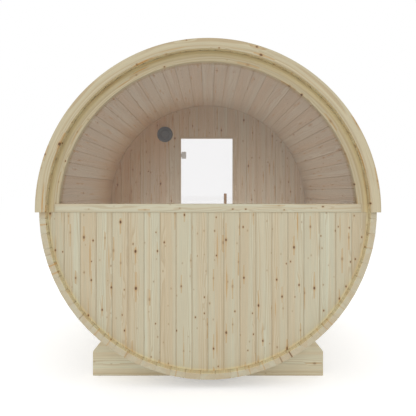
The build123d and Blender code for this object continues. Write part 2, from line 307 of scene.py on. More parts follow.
def strewn_marks(g: Graph, place: object, grid: tuple[float, float], share: object) -> tuple:
    """Marks strewn over a board, one in each cell of a loose grid.

    Args:
        g: The graph.
        place: Where on the log: across and along.
        grid: Figure in each metre across and along.
        share: The share of the cells that hold a mark.

    Returns:
        The way to the nearest mark in metres, 1 where it is there, and two chances from 0 to 1.
    """
    cell = g.vector("MULTIPLY", place, (grid[0], grid[1], 0.0))
    cells = g.node("ShaderNodeTexVoronoi", voronoi_dimensions="2D", feature="F1")
    g.put(cells.inputs["Vector"], cell)
    g.put(cells.inputs["Scale"], 1.0)
    way = g.vector("SUBTRACT", cell, cells.outputs["Position"])
    way = g.vector("MULTIPLY", way, (1 / grid[0], 1 / grid[1], 0.0))
    chance = g.node("ShaderNodeSeparateColor")
    g.put(chance.inputs[0], cells.outputs["Color"])
    return way, g.math("LESS_THAN", chance.outputs[0], share), chance.outputs[1], chance.outputs[2]


def distance(g: Graph, way: object, squash: float) -> object:
    """The length of a way, with the part along the grain squashed so that equal lengths make long ovals."""
    return g.vector("LENGTH", g.vector("MULTIPLY", way, (1.0, squash, 0.0)), (0.0, 0.0, 0.0))


@dataclass(frozen=True)
class Figure:
    """How fine and how large each kind of figure is.

    Three numbers, or two, are cells in each metre across, along and through the log. A squash is the share
    of a length along the grain that counts, so a small one makes long marks. The rest are metres.
    """

    apart: tuple = (13.7, 71.3, 5.1)
    knots: tuple = (11.0, 8.0)
    resin: tuple = (10.0, 1.6)
    ragged: float = 240.0
    frayed: tuple = (300.0, 14.0, 60.0)
    wander: tuple = (3.0, 0.8, 3.0)
    uneven: tuple = (11.0, 1.2, 11.0)
    zone: tuple = (17.0, 0.3, 17.0)
    fibre: tuple = (420.0, 9.0, 420.0)
    streak: tuple = (150.0, 1.2, 150.0)
    cloud: tuple = (9.0, 4.0, 9.0)
    knot_squash: float = 0.66
    swing_squash: float = 0.16
    streak_squash: float = 0.045
    trail_squash: float = 0.03
    knot_edge: float = 0.003
    knot_smallest: float = 0.0032
    knot_spread: float = 0.0028
    knot_extra: float = 0.0022
    streak_edge: float = 0.007
    streak_narrowest: float = 0.0026
    streak_spread: float = 0.0034
    pith_wander: float = 0.09
    ring_swing: float = 0.006


def timber_group(figure: Figure = Figure()) -> bpy.types.NodeTree:
    """The wood of every board, worked out in the log that the board is sawn from.

    The grain attribute is a point in the log: across the board, along it and through it, with the pith
    near the origin. Growth rings are the distance from a wandering pith, in ring widths, so wide faces
    show arches and ends show arcs. Paler and browner zones lie along the grain. Knots are cells in the
    plane of the board that run through it, and rings swing round them. Resin streaks are longer cells.

    Args:
        figure: How fine and how large each kind of figure is.

    Returns:
        The node group.
    """
    tree, g, given, out = group(
        "timber",
        {
            "Grain": (VECTOR, None),
            "Seed": (FLOAT, 0.0),
            "Tone": (FLOAT, 0.5),
            **{name: (COLOUR, None) for name in WOOD_COLOURS},
            **{name: (FLOAT, 0.0) for name in WOOD_AMOUNTS},
        },
        {"Colour": COLOUR, "Roughness": FLOAT, "Height": FLOAT},
    )
    log = given.outputs["Grain"]
    own = g.vector("ADD", log, g.vector("SCALE", figure.apart, given.outputs["Seed"]))

    way, present, rank, spread = strewn_marks(g, own, figure.knots, given.outputs["Knot share"])
    ragged = g.centred(g.noise(own, figure.ragged), figure.knot_edge)
    near = g.math("ADD", distance(g, way, figure.knot_squash), ragged)
    size = g.math("ADD", g.scaled(spread, figure.knot_spread, figure.knot_smallest),
                  g.scaled(g.step(spread, 0.8, 1.0), figure.knot_extra))
    strength = g.product(g.scaled(g.step(rank, 0.58, 0.3), 0.7, 0.3), present)
    core = g.product(g.step(near, g.scaled(size, 1.3), g.scaled(size, 0.55)), strength)
    halo = g.product(g.step(near, g.scaled(size, 2.6), size), strength)
    swing = g.product(g.step(distance(g, way, figure.swing_squash), g.scaled(size, 4.5), 0.0), strength)

    streak_way, streak_there, streak_rank, streak_spread = strewn_marks(
        g, own, figure.resin, given.outputs["Resin share"])
    frayed = g.centred(g.stretched(own, figure.frayed), figure.streak_edge)
    beside = g.math("ADD", distance(g, streak_way, figure.streak_squash), frayed)
    width = g.scaled(streak_spread, figure.streak_spread, figure.streak_narrowest)
    resin = g.step(beside, g.scaled(width, 1.3), g.scaled(width, 0.5))
    resin = g.product(resin, streak_there, g.scaled(streak_rank, 0.7, 0.3))
    trail = g.math("ADD", distance(g, way, figure.trail_squash), frayed)
    trail = g.step(trail, g.scaled(size, 1.1), g.scaled(size, 0.3))
    trail = g.product(trail, present, g.step(spread, 0.55, 0.75))
    resin = g.math("MAXIMUM", resin, g.scaled(trail, 0.6))

    across, _, through = g.split(log)
    across = g.math("ADD", across, g.centred(g.stretched(own, figure.wander), figure.pith_wander))
    radius = g.math("SQRT", g.math("ADD", g.product(across, across), g.product(through, through)))
    radius = g.math("ADD", radius, g.scaled(swing, figure.ring_swing))
    uneven = g.stretched(own, figure.uneven)
    rings = g.math("ADD", g.math("DIVIDE", radius, given.outputs["Ring width"]), g.scaled(uneven, 1.6))
    phase = g.math("FRACT", rings)
    late = g.product(g.step(phase, 0.25, 0.88), g.step(phase, 1.0, 0.9))

    zone = g.step(g.stretched(own, figure.zone, 1.0), 0.43, 0.57)
    fibre = g.stretched(own, figure.fibre)
    streak = g.stretched(own, figure.streak, 3.0, 0.7)
    cloud = g.stretched(own, figure.cloud, 3.0)

    zone = g.product(zone, given.outputs["Zones"])
    warm = g.math("ADD", g.scaled(given.outputs["Tone"], 0.42), zone)
    warm = g.math("ADD", warm, g.centred(streak, 0.9))
    cloud = g.product(g.scaled(cloud, 1.0, -0.44), given.outputs["Zones"])
    warm = g.math("ADD", warm, cloud, clamp=True)
    colour = g.blend(warm, given.outputs["Pale"], given.outputs["Tan"])
    depth = g.product(late, given.outputs["Ring depth"], g.math("ADD", streak, 0.5))
    colour = g.blend(depth, colour, given.outputs["Latewood"])
    shade = g.product(g.centred(streak, 1.0), given.outputs["Streaks"])
    shade = g.math("ADD", g.scaled(fibre, 0.2, 0.9), shade)
    tint = g.node("ShaderNodeCombineColor")
    for place in range(3):
        g.put(tint.inputs[place], shade)
    colour = g.blend(1.0, colour, tint.outputs[0], "MULTIPLY")
    colour = g.blend(g.scaled(resin, 0.8), colour, given.outputs["Resin"])
    colour = g.blend(g.scaled(halo, 0.36), colour, given.outputs["Resin"])
    colour = g.blend(g.scaled(core, 0.95), colour, given.outputs["Knot"])

    rough = g.math("SUBTRACT", g.scaled(late, -0.07, 0.6), g.scaled(core, 0.14))
    height = g.math("ADD", g.scaled(late, 0.5), g.scaled(fibre, 0.5))
    height = g.math("SUBTRACT", height, g.scaled(core, 0.4))
    g.put(out.inputs["Colour"], colour)
    g.put(out.inputs["Roughness"], rough)
    g.put(out.inputs["Height"], height)
    return tree


@dataclass(frozen=True)
class PaintedLight:
    """Painted light and shade: the colours that the wood is multiplied by where light or shade falls on it.

    Inside the cabin, nearer the axis than the staves' inner arrises and between the end walls, the wood is
    painted pinker and a little darker, as painted warm shade. On the left where the door wall meets the
    staves it is painted browner, as painted shade, and on the right of that wall it is painted paler, as
    painted light. In the recess in front of an end wall it is painted paler and more golden where the wall
    meets the staves, as painted bounce light that lifts the recess's shade. Between two boards, inside the
    thickness of a wall or of the shell, it is painted browner, as painted shade in the joints and reveals.
    Each pair says where a step starts and ends, as a distance inwards from the face, edge or plane that it
    is named for.
    """

    skin: tuple[float, float] = (-0.002, -0.0005)
    aged_lower: tuple[float, float] = (0.022, 0.004)
    aged_upper: tuple[float, float] = (0.052, 0.012)
    upper_half: tuple[float, float] = (-0.02, 0.0)
    recess_mouth: tuple[float, float] = (0.001, 0.004)
    door_wall: tuple[float, float] = (0.003, 0.001)
    cooler_x: tuple[float, float] = (-0.8, 0.6)
    corner_depth: tuple[float, float] = (1.1, 0.1)
    corner_reach: tuple[float, float] = (0.5, 0.05)
    corner_x: tuple[float, float] = (0.25, -0.7)
    wall_seam: tuple[float, float] = (0.0002, 0.001)
    rail_underside: tuple[float, float] = (-0.013, -0.015)
    shell_seam_inner: tuple[float, float] = (0.0003, 0.0012)
    shell_seam_outer: tuple[float, float] = (0.002, 0.004)
    stave_end: tuple[float, float] = (0.001, 0.003)

    def build(self, barrel: "Barrel") -> bpy.types.NodeTree:
        """Makes the node group.

        Args:
            barrel: The shared sizes.

        Returns:
            The node group, which puts out the painted light and shade to multiply the wood by.
        """
        colours = {name: (COLOUR, None) for name in PAINTED_LIGHT_COLOURS}
        tree, g, given, out = group("side", {"Place": (VECTOR, None), **colours}, {"Tint": COLOUR})

        def under(value: object, edge: float, pair: tuple[float, float]) -> object:
            """A step between the pair's two distances under an edge."""
            return g.step(value, edge - pair[0], edge - pair[1])

        def over(value: object, edge: float, pair: tuple[float, float]) -> object:
            """A step between the pair's two distances over an edge."""
            return g.step(value, edge + pair[0], edge + pair[1])

        x, y, z = g.split(given.outputs["Place"])
        up = g.math("SUBTRACT", z, barrel.axis)
        reach = g.math("SQRT", g.math("ADD", g.product(up, up), g.product(x, x)))
        along = g.math("ABSOLUTE", y)
        arris = barrel.radius - barrel.stave_thickness
        front = barrel.half_length + barrel.fascia_thickness
        within = under(reach, arris, self.skin)
        upper = g.step(up, *self.upper_half)

        # Painted warm shade: inside the cabin the wood is painted pinker and a little darker.
        cabin = g.product(within, under(along, barrel.wall_inner, self.skin))
        # Painted light: on the right of the door wall the wood is painted paler than in the rest of the
        # cabin.
        cooler = g.product(under(y, barrel.wall_inner, self.door_wall), g.step(x, *self.cooler_x))
        inside = g.blend(cooler, given.outputs["Heated"], given.outputs["Cooler"])
        # Painted shade: on the left where the door wall meets the staves the wood is painted browner and
        # darker.
        corner = g.product(under(y, barrel.wall_inner, self.corner_depth),
                           under(reach, arris, self.corner_reach), g.step(x, *self.corner_x))
        inside = g.blend(corner, inside, given.outputs["Corner"])
        tint = g.blend(cabin, (1.0, 1.0, 1.0, 1.0), inside)

        # Painted bounce light: in the recess before each end wall the wood is painted paler and more golden
        # towards the staves, over a wider band above the axis.
        ramp = g.step(reach, *(g.scaled(upper, lower - higher, arris - lower)
                               for lower, higher in zip(self.aged_lower, self.aged_upper)))
        recess = g.product(over(along, barrel.wall_outer, self.skin), under(along, front, self.recess_mouth),
                           within, ramp)
        tint = g.blend(recess, tint, given.outputs["Aged"])

        # Painted shade: on the faces inside the joints and reveals, within the thickness of a wall or of the
        # shell, the wood is painted browner and darker.
        below_rail = g.math("MAXIMUM", g.step(up, *self.rail_underside), g.math("GREATER_THAN", y, 0.0))
        walls = g.product(under(along, barrel.wall_outer, self.wall_seam),
                          over(along, barrel.wall_inner, self.wall_seam), within, below_rail)
        shell = g.product(over(reach, arris, self.shell_seam_inner),
                          under(reach, barrel.radius, self.shell_seam_outer),
                          under(along, barrel.half_length, self.stave_end))
        g.put(out.inputs["Tint"], g.blend(g.math("MAXIMUM", walls, shell), tint, given.outputs["Seam"]))
        return tree


def wear_group() -> bpy.types.NodeTree:
    """Uneven handling marks and dust for metal, plastic and glass: soft clouds and fine lines.

    Returns:
        The node group, which puts out a share from 0 to 1 and a height.
    """
    tree, g, given, out = group(
        "wear",
        {"Place": (VECTOR, None), "Cloud size": (FLOAT, 0.1), "Line stretch": (VECTOR, (1.0, 1.0, 1.0))},
        {"Share": FLOAT, "Height": FLOAT},
    )
    place = given.outputs["Place"]
    clouds = g.noise(g.vector("SCALE", place, g.math("DIVIDE", 1.0, given.outputs["Cloud size"])), 1.0, 4.0)
    lines = g.noise(g.vector("MULTIPLY", place, given.outputs["Line stretch"]), 1.0, 2.0)
    share = g.math("MULTIPLY", g.math("ADD", clouds, lines), 0.5)
    g.put(out.inputs["Share"], share)
    g.put(out.inputs["Height"], lines)
    return tree


def new_material(name: str) -> tuple[bpy.types.Material, Graph, bpy.types.Node, bpy.types.Node]:
    """An empty material with a Principled shader.

    Args:
        name: The material's name.

    Returns:
        The material, its graph, its Principled shader and its output.
    """
    material = bpy.data.materials.new(name)
    material.use_nodes = True
    material.node_tree.nodes.clear()
    graph = Graph(material.node_tree)
    shader = graph.node("ShaderNodeBsdfPrincipled")
    output = graph.node("ShaderNodeOutputMaterial")
    graph.put(output.inputs["Surface"], shader.outputs["BSDF"])
    return material, graph, shader, output


def bump(graph: Graph, shader: bpy.types.Node, height: object, strength: float, distance: float) -> None:
    """Feeds a height to a shader's normal.

    Args:
        graph: The material's graph.
        shader: The Principled shader.
        height: The height's socket.
        strength: How strong the relief is.
        distance: The relief's depth in metres.
    """
    relief = graph.node("ShaderNodeBump")
    graph.put(relief.inputs["Strength"], strength)
    graph.put(relief.inputs["Distance"], distance)
    graph.put(relief.inputs["Height"], height)
    graph.put(shader.inputs["Normal"], relief.outputs["Normal"])


@dataclass(frozen=True)
class Timber:
    """One kind of planed softwood."""

    name: str
    pale: tuple = srgb(198, 195, 172)
    tan: tuple = srgb(196, 182, 154)
    latewood: tuple = srgb(168, 144, 109)
    knot: tuple = srgb(96, 64, 42)
    resin: tuple = srgb(182, 140, 84)
    # Painted light and shade, multiplied into the wood by place: warm painted shade in the cabin, painted
    # shade on the left at the door wall, painted light on that wall's right, painted shade in joints and
    # reveals, painted bounce light in the end recesses.
    heated: tuple = (1.0, 0.915, 0.925, 1.0)
    corner: tuple = (0.97, 0.73, 0.55, 1.0)
    cooler: tuple = (1.03, 0.96, 0.98, 1.0)
    seam: tuple = (0.88, 0.66, 0.42, 1.0)
    aged: tuple = (1.2, 1.16, 1.0, 1.0)
    ring_width: float = 0.0052
    ring_depth: float = 0.38
    knot_share: float = 0.9
    resin_share: float = 0.4
    zones: float = 0.52
    streaks: float = 0.34
    gloss: float = 0.28

    def build(self, tree: bpy.types.NodeTree, painted_light_tree: bpy.types.NodeTree) -> bpy.types.Material:
        """Makes the material.

        Args:
            tree: The timber node group.
            painted_light_tree: The node group of painted light and shade.

        Returns:
            The material.
        """
        material, graph, shader, _ = new_material(self.name)
        labels = {entry.name: entry.name.replace("_", " ").capitalize() for entry in fields(self)}
        own = {label: getattr(self, name) for name, label in labels.items()}
        wood = graph.use(tree, {name: own[name] for name in (*WOOD_COLOURS, *WOOD_AMOUNTS)})
        attributes = (("Grain", GRAIN, "Vector"), ("Seed", SEED, "Fac"), ("Tone", TONE, "Fac"))
        for label, attribute, output in attributes:
            read = graph.node("ShaderNodeAttribute", attribute_name=attribute)
            graph.put(wood.inputs[label], read.outputs[output])
        side = graph.use(painted_light_tree, {name: own[name] for name in PAINTED_LIGHT_COLOURS})
        graph.put(side.inputs["Place"], graph.place())
        # The wood's own colour times the painted light and shade of its place.
        tinted = graph.blend(1.0, wood.outputs["Colour"], side.outputs["Tint"], "MULTIPLY")
        graph.put(shader.inputs["Base Color"], tinted)
        graph.put(shader.inputs["Roughness"], wood.outputs["Roughness"])
        shader.inputs["Specular IOR Level"].default_value = self.gloss
        bump(graph, shader, wood.outputs["Height"], 0.35, 0.0004)
        return material


@dataclass(frozen=True)
class Worn:
    """Steel or matt plastic: two close colours and a roughness that the wear moves between."""

    name: str
    light: tuple
    dark: tuple
    smoothest: float
    roughest: float
    lines: tuple
    cloud: float
    relief: float
    metallic: float = 0.0

    def build(self, tree: bpy.types.NodeTree) -> bpy.types.Material:
        """Makes the material.

        Args:
            tree: The wear node group.

        Returns:
            The material.
        """
        material, graph, shader, _ = new_material(self.name)
        place = graph.place()
        wear = graph.use(tree, {"Place": place, "Cloud size": self.cloud, "Line stretch": self.lines})
        share = wear.outputs["Share"]
        graph.put(shader.inputs["Base Color"], graph.blend(share, self.dark, self.light))
        rough = graph.scaled(share, self.roughest - self.smoothest, self.smoothest)
        graph.put(shader.inputs["Roughness"], rough)
        shader.inputs["Metallic"].default_value = self.metallic
        bump(graph, shader, wear.outputs["Height"], self.relief, 0.0002)
        return material


@dataclass(frozen=True)
class Glass:
    """A clear toughened pane. Light that falls through it passes straight, so that the cabin is lit."""

    name: str
    tint: tuple = (0.95, 0.946, 0.948, 1.0)
    smear: tuple = (0.94, 0.936, 0.938, 1.0)
    passed: tuple = (0.91, 0.91, 0.91, 1.0)

    def build(self, tree: bpy.types.NodeTree) -> bpy.types.Material:
        """Makes the material.

        Args:
            tree: The wear node group.

        Returns:
            The material.
        """
        material, graph, shader, output = new_material(self.name)
        wear = graph.use(tree, {"Place": graph.place(), "Cloud size": 0.3, "Line stretch": (3.0, 3.0, 9.0)})
        smear = graph.step(wear.outputs["Share"], 0.5, 0.75)
        graph.put(shader.inputs["Base Color"], graph.blend(smear, self.tint, self.smear))
        graph.put(shader.inputs["Roughness"], graph.math("MULTIPLY", smear, 0.03))
        shader.inputs["Transmission Weight"].default_value = 1.0
        shader.inputs["IOR"].default_value = 1.45
        clear = graph.node("ShaderNodeBsdfTransparent")
        graph.put(clear.inputs["Color"], self.passed)
        path = graph.node("ShaderNodeLightPath")
        lit = graph.math("MAXIMUM", path.outputs["Is Shadow Ray"], path.outputs["Is Diffuse Ray"])
        chosen = graph.node("ShaderNodeMixShader")
        graph.put(chosen.inputs["Fac"], lit)
        graph.put(chosen.inputs[1], shader.outputs["BSDF"])
        graph.put(chosen.inputs[2], clear.outputs["BSDF"])
        graph.put(output.inputs["Surface"], chosen.outputs["Shader"])
        return material


class Palette:
    """Every finish of the sauna, made once."""

    def __init__(self, barrel: "Barrel") -> None:
        """Builds the node groups and the materials."""
        timber = timber_group()
        side = PaintedLight().build(barrel)
        wear = wear_group()
        self.made: dict[Finish, bpy.types.Material] = {}
        woods = {
            Finish.STAVE: Timber("stave_timber", pale=srgb(196, 191, 168), tan=srgb(191, 177, 149),
                                 knot_share=0.55, resin_share=0.25, streaks=0.44),
            Finish.WALL: Timber("wall_timber"),
            Finish.FASCIA: Timber("fascia_timber", pale=srgb(194, 184, 155), tan=srgb(189, 174, 144),
                                  knot_share=0.65, resin_share=1.0, ring_depth=0.5, zones=0.16, streaks=0.6),
            Finish.FRAME: Timber("frame_timber", knot_share=0.5),
            Finish.ROOF: Timber("roof_timber", knot_share=0.5),
            Finish.CRADLE: Timber("cradle_timber", pale=srgb(209, 206, 182), tan=srgb(203, 188, 157),
                                  latewood=srgb(180, 157, 120), ring_width=0.007, ring_depth=0.5,
                                  knot_share=0.4),
            Finish.FLOOR: Timber("floor_timber", knot_share=0.5),
            # The handle's wood is painted darker than the other timber: painted shade.
            Finish.HANDLE: Timber("handle_timber_shaded", pale=srgb(176, 152, 118), tan=srgb(160, 132, 98),
                                  latewood=srgb(128, 98, 66), knot_share=0.0, resin_share=0.0),
        }
        for finish, wood in woods.items():
            self.made[finish] = wood.build(timber, side)
        others = {
            Finish.HINGE: Worn("hinge_metal", srgb(212, 206, 198), srgb(160, 154, 147), 0.175, 0.425,
                               (20.0, 20.0, 1800.0), 0.08, 0.25, 1.0),
            Finish.BAND: Worn("band_metal", srgb(158, 160, 161), srgb(104, 105, 107), 0.215, 0.465,
                              (60.0, 1500.0, 60.0), 0.08, 0.25, 1.0),
            Finish.VENT: Worn("vent_plastic", srgb(84, 84, 85), srgb(58, 58, 59), 0.35, 0.65,
                              (900.0, 900.0, 900.0), 0.05, 0.2),
            Finish.WINDOW_GLASS: Glass("window_pane"),
            Finish.DOOR_GLASS: Glass("door_pane"),
        }
        for finish, other in others.items():
            self.made[finish] = other.build(wear)

    def dress(self, piece: bpy.types.Object, finish: Finish) -> None:
        """Gives a piece its material.

        Args:
            piece: The piece.
            finish: Its finish.
        """
        piece.data.materials.clear()
        piece.data.materials.append(self.made[finish])


class Stock:
    """The meshes that become one piece, with the grain, seed and tone of every vertex."""

    def __init__(self, name: str, seed: int) -> None:
        """Names the piece and seeds what differs from board to board."""
        self.name = name
        self.random = np.random.default_rng(seed)
        self.verts: list[np.ndarray] = []
        self.grain: list[np.ndarray] = []
        self.seeds: list[np.ndarray] = []
        self.tones: list[np.ndarray] = []
        self.faces: list[list[int]] = []
        self.count = 0

    def board(self, tone: float | None = None) -> tuple[float, float, np.ndarray]:
        """Draws one board: its seed, its tone and where the pith lies from the middle of its inner face.

        Args:
            tone: A tone from 0, pale, to 1, tan, or None for a drawn one.

        Returns:
            The seed, the tone and the pith's place as across, along and through.
        """
        seed = float(self.random.uniform(0, 1))
        drawn = float(self.random.uniform(0, 1))
        pith = np.array([self.random.uniform(*reach) for reach in PITH_REACH])
        return seed, drawn if tone is None else tone, pith

    def loft(self, sections: np.ndarray, grain: np.ndarray, board: tuple, closed: bool = False) -> None:
        """Adds a closed skin through a row of sections.

        The skin is a grid: one row of vertices for each section, joined to the next row by four-sided
        faces. The first and last sections are closed by a face each, unless the row closes on itself.

        Args:
            sections: Points as section, point, x y z.
            grain: Places in the log in the same grid.
            board: The seed, tone and pith of the board.
            closed: Whether the last section joins the first.
        """
        seed, tone, pith = board
        rows, points = sections.shape[:2]
        row = np.arange(rows if closed else rows - 1)[:, None]
        point = np.arange(points)[None, :]
        after = (point + 1) % points
        following = (row + 1) % rows
        quads = np.stack([row * points + point, row * points + after,
                          following * points + after, following * points + point], axis=-1)
        faces = (quads.reshape(-1, 4) + self.count).tolist()
        if not closed:
            faces.append((np.arange(points)[::-1] + self.count).tolist())
            faces.append((np.arange(points) + (rows - 1) * points + self.count).tolist())
        self.verts.append(sections.reshape(-1, 3))
        self.grain.append(grain.reshape(-1, 3) + pith)
        self.seeds.append(np.full(rows * points, seed))
        self.tones.append(np.full(rows * points, tone))
        self.faces.extend(faces)
        self.count += rows * points

    def straight(self, low: tuple, high: tuple, axis: int, ease: float, ends: tuple[float, int],
                 board: tuple, origin: tuple | None = None) -> None:
        """Adds a straight board between two corners of a box.

        Args:
            low: The lower x, y and z.
            high: The higher x, y and z.
            axis: The axis that the board runs along: 0, 1 or 2.
            ease: How much its long arrises are eased.
            ends: How much its ends are eased, and how many spans lie between them.
            board: The seed, tone and pith of the board.
            origin: Where its grain starts across and through it, or None to start it at low.
        """
        first, second = (other for other in range(3) if other != axis)
        section = eased(rectangle(low[first], high[first], low[second], high[second]), ease)
        sections, along = run(section, low[axis], high[axis], *ends)
        points = np.empty((*sections.shape[:2], 3))
        points[..., [first, second]] = sections
        points[..., axis] = along[:, None]
        start = np.array(origin or low)
        start[axis] = 0.0
        across, through = (2, 1) if axis == 0 else (0, 3 - axis)
        self.loft(points, (points - start)[..., [across, axis, through]], board)

    def build(self, palette: Palette, finish: Finish, body: str, stands_for: tuple[str, ...],
              crease: float = 28.0) -> bpy.types.Object:
        """Makes the object, dresses it and ties it to its body.

        Args:
            palette: The finishes.
            finish: The piece's finish.
            body: The body that it rides on.
            stands_for: The nodes that it replaces.
            crease: The angle in degrees above which an edge stays sharp.

        Returns:
            The finished piece.
        """
        mesh = bpy.data.meshes.new(self.name)
        mesh.from_pydata(np.concatenate(self.verts).tolist(), [], self.faces)
        for label, kind, values in (
            (GRAIN, "FLOAT_VECTOR", np.concatenate(self.grain)),
            (SEED, "FLOAT", np.concatenate(self.seeds)),
            (TONE, "FLOAT", np.concatenate(self.tones)),
        ):
            attribute = mesh.attributes.new(label, kind, "POINT")
            key = "vector" if kind == "FLOAT_VECTOR" else "value"
            attribute.data.foreach_set(key, values.astype(np.float32).ravel())
        work = bmesh.new()
        work.from_mesh(mesh)
        bmesh.ops.recalc_face_normals(work, faces=work.faces)
        work.to_mesh(mesh)
        work.free()
        mesh.shade_smooth()
        mesh.set_sharp_from_angle(angle=math.radians(crease))
        mesh.update()
        piece = bpy.data.objects.new(self.name, mesh)
        bpy.context.scene.collection.objects.link(piece)
        palette.dress(piece, finish)
        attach(piece, body)
        if stands_for:
            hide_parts(*stands_for)
        LOG.info("%s: %d vertices on %s", self.name, self.count, body)
        return piece


def eased(corners: np.ndarray, ease: float) -> np.ndarray:
    """Takes the corners off a section: each becomes three points on a small round.

    A point stands off each of the corners by the ease along both edges, and a third lies halfway between
    them, pushed out to about the round's own middle.

    Args:
        corners: The section's corners in order, one row each.
        ease: The distance taken off along each edge.

    Returns:
        The points of the eased section.
    """
    before = np.roll(corners, 1, axis=0) - corners
    after = np.roll(corners, -1, axis=0) - corners
    first = corners + before / np.linalg.norm(before, axis=1, keepdims=True) * ease
    last = corners + after / np.linalg.norm(after, axis=1, keepdims=True) * ease
    middle = (first + last) / 2 * 0.586 + corners * 0.414
    return np.stack([first, middle, last], axis=1).reshape(-1, 2)


def rectangle(first_low: float, first_high: float, second_low: float, second_high: float) -> np.ndarray:
    """The four corners of a rectangle, in order."""
    return np.array([[first_low, second_low], [first_high, second_low],
                     [first_high, second_high], [first_low, second_high]])


def shrunk(section: np.ndarray, ease: float) -> np.ndarray:
    """A section drawn in by the ease on every side, about its own middle.

    Args:
        section: Points, one row each.
        ease: The distance that each side moves in.

    Returns:
        The smaller section.
    """
    low, high = section.min(axis=0), section.max(axis=0)
    middle = (low + high) / 2
    return middle + (section - middle) * (1 - 2 * ease / np.maximum(high - low, 4 * ease))


def run(section: np.ndarray, length_low: float, length_high: float, ease: float, spans: int = 2) -> tuple:
    """Sections of a straight board along its length, with eased ends.

    Args:
        section: The board's section, across and through.
        length_low: Where the board starts.
        length_high: Where it ends.
        ease: How much the ends are eased.
        spans: How many spans the board has between its eased ends.

    Returns:
        The sections as one array of across and through, and the places along the board.
    """
    along = np.concatenate([[length_low], np.linspace(length_low + ease, length_high - ease, spans + 1),
                            [length_high]])
    small = shrunk(section, ease)
    sections = np.stack([small] + [section] * (spans + 1) + [small])
    return sections, along


@dataclass(frozen=True)
class Joint:
    """The joint between two boards: a narrow slot between bevelled edges."""

    slot: float = 0.0008
    slot_depth: float = 0.006
    bevel: float = 0.0009
    spans: int = 8

    def columns(self, low: float, high: float) -> tuple[np.ndarray, np.ndarray]:
        """Where a board's upright sections stand, and how far each is drawn in.

        Args:
            low: The board's lower edge.
            high: Its higher edge.

        Returns:
            The places and the insets.
        """
        side = np.array([0.0, self.slot, self.slot * 1.05, self.slot + self.bevel])
        inset = np.array([self.slot_depth, self.slot_depth, self.bevel, 0.0])
        middle = np.linspace(low + side[-1], high - side[-1], self.spans + 1)[1:-1]
        places = np.concatenate([low + side, middle, (high - side)[::-1]])
        return places, np.concatenate([inset, np.zeros(len(middle)), inset[::-1]])


@dataclass
class Barrel:
    """The sizes that the whole sauna shares."""

    radius: float = 1.135
    clearance: float = 0.06
    stave_thickness: float = 0.042
    stave_count: int = 68
    staves_per_segment: int = 4
    half_length: float = 1.15
    wall_outer: float = 1.1
    wall_inner: float = 1.058
    fascia_thickness: float = 0.028
    board_pitch: float = 0.109
    joint: Joint = Joint()

    @property
    def axis(self) -> float:
        """The height of the barrel's axis."""
        return self.radius + self.clearance

    @property
    def stave_pitch(self) -> float:
        """The angle from one stave to the next."""
        return 2 * math.pi / self.stave_count

    @property
    def inner_flat(self) -> float:
        """The distance from the axis to a stave's inner face."""
        return (self.radius - self.stave_thickness) * math.cos(self.stave_pitch / 2)

    @property
    def wall_radius(self) -> float:
        """The radius of the end walls, which meet the staves."""
        return self.inner_flat + 0.0004

    @property
    def wall_edge(self) -> float:
        """How far the outermost wall boards reach from the middle."""
        return self.wall_radius - 0.0005


def radial_place(barrel: Barrel, angle: float, sections: np.ndarray, along: np.ndarray,
                 foot: float) -> np.ndarray:
    """Puts a board's sections round the barrel.

    A point at a across and d through, on a board at angle t from straight up, lies at
    x = a cos t + (foot + d) sin t and z = axis - a sin t + (foot + d) cos t.

    Args:
        barrel: The shared sizes.
        angle: The board's angle from straight up, positive to the right.
        sections: Sections as across and through.
        along: The y of each section.
        foot: The distance from the axis to the board's inner face.

    Returns:
        The points as section, point, x y z.
    """
    across, out = sections[..., 0], sections[..., 1] + foot
    x = across * math.cos(angle) + out * math.sin(angle)
    z = barrel.axis - across * math.sin(angle) + out * math.cos(angle)
    y = np.broadcast_to(along[:, None], x.shape)
    return np.stack([x, y, z], axis=-1)


def log_place(sections: np.ndarray, along: np.ndarray) -> np.ndarray:
    """Where a straight board's points lie in its log: across, along and through."""
    y = np.broadcast_to(along[:, None], sections.shape[:2])
    return np.stack([sections[..., 0], y, sections[..., 1]], axis=-1)


@dataclass
class Shell:
    """The round wall of staves."""

    barrel: Barrel
    ease: float = 0.0016

    def section(self) -> np.ndarray:
        """A stave's section: flat faces, eased arrises, and edges that meet between two slots."""
        half = self.barrel.stave_pitch / 2
        joint = self.barrel.joint
        outer_flat = self.barrel.radius * math.cos(half)
        depth = outer_flat - self.barrel.inner_flat
        off = np.array([0.0, joint.bevel, joint.slot_depth, joint.slot_depth])
        off = np.concatenate([off, (depth - off)[::-1]])
        back = np.array([joint.slot + joint.bevel, joint.slot, joint.slot, 0.0])
        edge = (self.barrel.inner_flat + off) * math.tan(half) - np.concatenate([back, back[::-1]])
        right = np.stack([edge, off], axis=1)
        return np.concatenate([right, right[::-1] * (-1, 1)])

    def build(self, palette: Palette) -> None:
        """Makes one piece for each segment of staves."""
        barrel = self.barrel
        sections, along = run(self.section(), -barrel.half_length, barrel.half_length, self.ease)
        grain = log_place(sections, along)
        tones = np.random.default_rng(11).uniform(0, 1, barrel.stave_count)
        segments = -(-barrel.stave_count // barrel.staves_per_segment)
        for index in range(segments):
            node = f"shell_segment_{index + 1:02d}"
            stock = Stock(f"staves_{index + 1:02d}", 100 + index)
            for place in range(barrel.staves_per_segment):
                number = index * barrel.staves_per_segment + place
                angle = number * barrel.stave_pitch
                points = radial_place(barrel, angle, sections, along, barrel.inner_flat)
                alternate = 0.75 * (number % 2) + 0.25 * tones[number]
                stock.loft(points, grain, stock.board(alternate))
            stock.build(palette, Finish.STAVE, CABIN_BODY, (node,))


